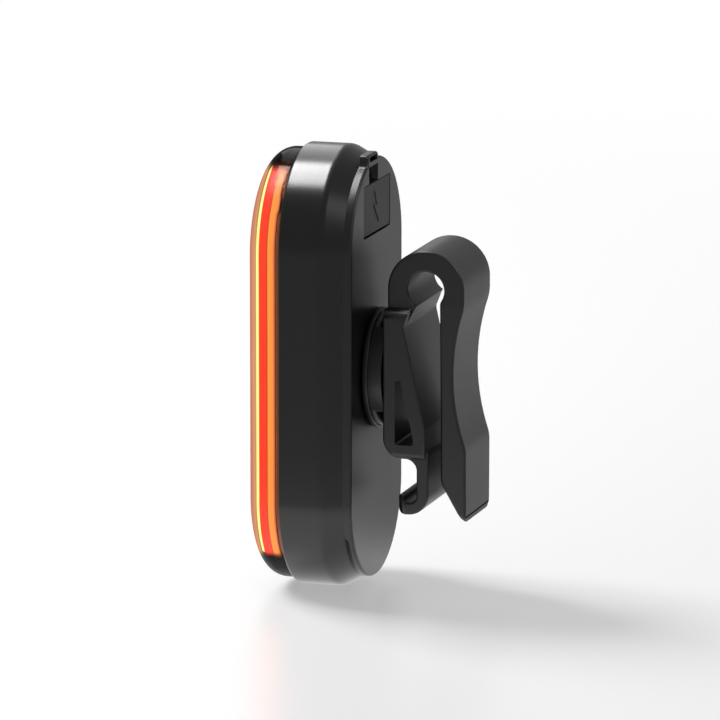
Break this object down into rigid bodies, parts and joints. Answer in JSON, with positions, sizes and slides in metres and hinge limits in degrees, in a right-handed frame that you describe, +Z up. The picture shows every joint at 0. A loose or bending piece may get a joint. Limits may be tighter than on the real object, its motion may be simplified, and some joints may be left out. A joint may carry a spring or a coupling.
{
  "type": "bicycle rear light",
  "caption": "Rechargeable bicycle rear light: a capsule body with a clear lens over lit strips and a rubber port flap, on a swivelling spring clip with a hook.",
  "frame": {"origin": "where the swivel axis meets the flat back of the light, within 0.4 mm of the bounding box's centre", "axes": "+Z up along the light's length, +Y from the lens towards the clip along the swivel axis, +X to the side that the picture shows"},
  "size_m": [0.0336, 0.0359, 0.075],
  "materials": {
    "body_plastic": "satin",
    "clip_plastic": "satin",
    "clear_lens": "polished, clear",
    "red_guide": "translucent red",
    "lit_strip": "lit",
    "panel_plastic": "smooth",
    "soft_rubber": "matt",
    "button_rubber": "matt",
    "seal_rubber": "matt",
    "board_laminate": "green solder mask",
    "chip_black": "moulded",
    "plunger_plastic": "moulded",
    "steel_screw": "plated",
    "socket_steel": "stamped",
    "socket_plastic": "moulded",
    "cell_foil": "foil pouch",
    "foam": "foam",
    "lead_insulation": "insulated",
    "flex_tail": "flexible film",
    "clear_pipe": "clear",
    "led_chip": "moulded",
    "brass_insert": "knurled outside",
    "bush_plastic": "low friction"
  },
  "bodies": {
    "clip": {"clip_base": "clip_plastic", "clip_loop": "clip_plastic", "swivel_disc": "body_plastic", "pivot_insert": "brass_insert", "clip_screws": "steel_screw", "pivot_screw": "steel_screw", "pivot_washer": "steel_screw"},
    "clip_arm": {"clip_arm": "clip_plastic"},
    "light": {"housing": "body_plastic", "rear_cover": "body_plastic", "lens_cover": "clear_lens", "light_guide": "red_guide", "cob_strip_right": "lit_strip", "cob_strip_left": "lit_strip", "centre_panel": "panel_plastic", "indicator_pipe": "clear_pipe", "indicator_led": "led_chip", "lens_seal": "seal_rubber", "rear_seal": "seal_rubber", "pivot_seal": "seal_rubber", "control_board": "board_laminate", "board_chips": "chip_black", "board_screws": "steel_screw", "switch_body": "chip_black", "charge_socket": "socket_steel", "socket_tongue": "socket_plastic", "battery": "cell_foil", "battery_pad": "foam", "battery_leads": "lead_insulation", "strip_leads": "flex_tail", "flap_anchor": "soft_rubber", "pivot_bush": "bush_plastic"},
    "port_flap": {"port_flap": "soft_rubber"},
    "button": {"power_button": "button_rubber", "switch_plunger": "plunger_plastic"}
  },
  "joints": [
    {"name": "clip_swivel", "type": "hinge", "parent": "clip", "child": "light", "pos_m": [0, 0, 0], "axis": [0, 1, 0], "continuous": true},
    {"name": "clip_flex", "type": "hinge", "parent": "clip", "child": "clip_arm", "pos_m": [0, 0.01084, 0.015], "axis": [1, 0, 0], "range_deg": [0, 10], "stiffness_Nm_per_rad": 2, "deforming": ["clip_loop"]},
    {"name": "port_flap_hinge", "type": "hinge", "parent": "light", "child": "port_flap", "pos_m": [0, -0.00052, 0.02343], "axis": [-1, 0, 0], "range_deg": [0, 70], "stiffness_Nm_per_rad": 0.002},
    {"name": "button_press", "type": "slide", "parent": "light", "child": "button", "axis": [0, 1, 0], "range_m": [0, 0.0005], "stiffness_N_per_m": 3000}
  ]
}
